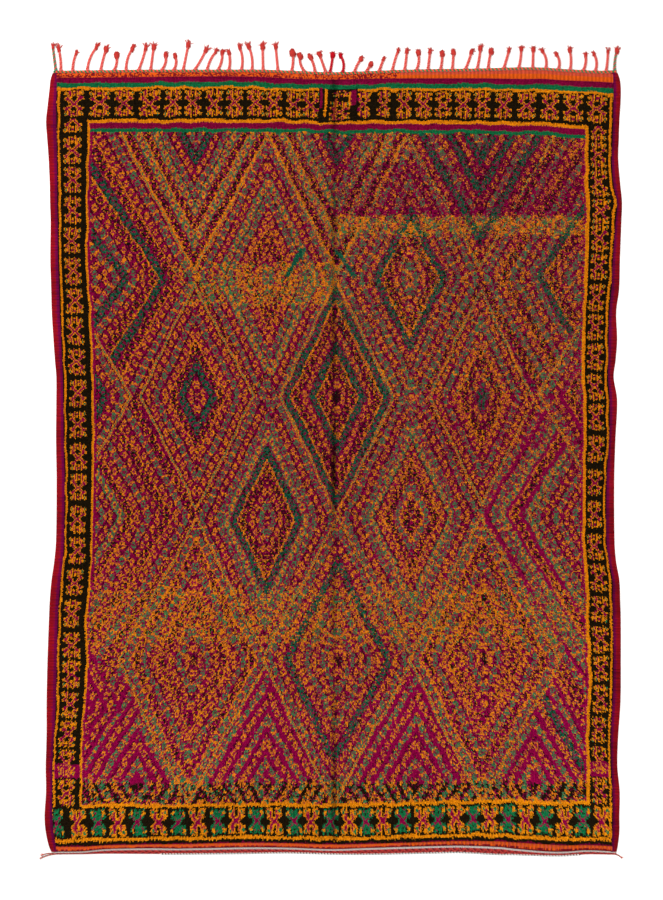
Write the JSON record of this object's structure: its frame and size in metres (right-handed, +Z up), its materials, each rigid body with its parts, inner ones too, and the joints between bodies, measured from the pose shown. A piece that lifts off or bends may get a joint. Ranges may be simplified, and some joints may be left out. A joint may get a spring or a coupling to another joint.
{
  "type": "berber rug",
  "caption": "Hand-knotted wool pile rug lying flat, with flat-woven selvedges, a tasselled twined cord along its top end and a braided bottom end.",
  "frame": {"origin": "middle of the rug's footprint, on the floor it lies on", "axes": "+X across the rug, +Y along it towards the tassels, +Z up out of the pile"},
  "size_m": [2.0384, 2.8644, 0.0132],
  "materials": {
    "pile_wool": "knotted wool pile in madder orange, magenta, green and near-black",
    "flatwoven_wool": "weft-faced flat weave in red, magenta and orange",
    "tassel_wool": "plied and plucked coral wool with green strands",
    "pale_wool": "undyed plied wool",
    "braid_wool": "folded braid in red and dark wool"
  },
  "bodies": {
    "root": {"rug_cloth": "pile_wool", "top_cord_tassels": "tassel_wool", "bottom_cord": "pale_wool", "bottom_braid": "braid_wool"}
  },
  "joints": []
}
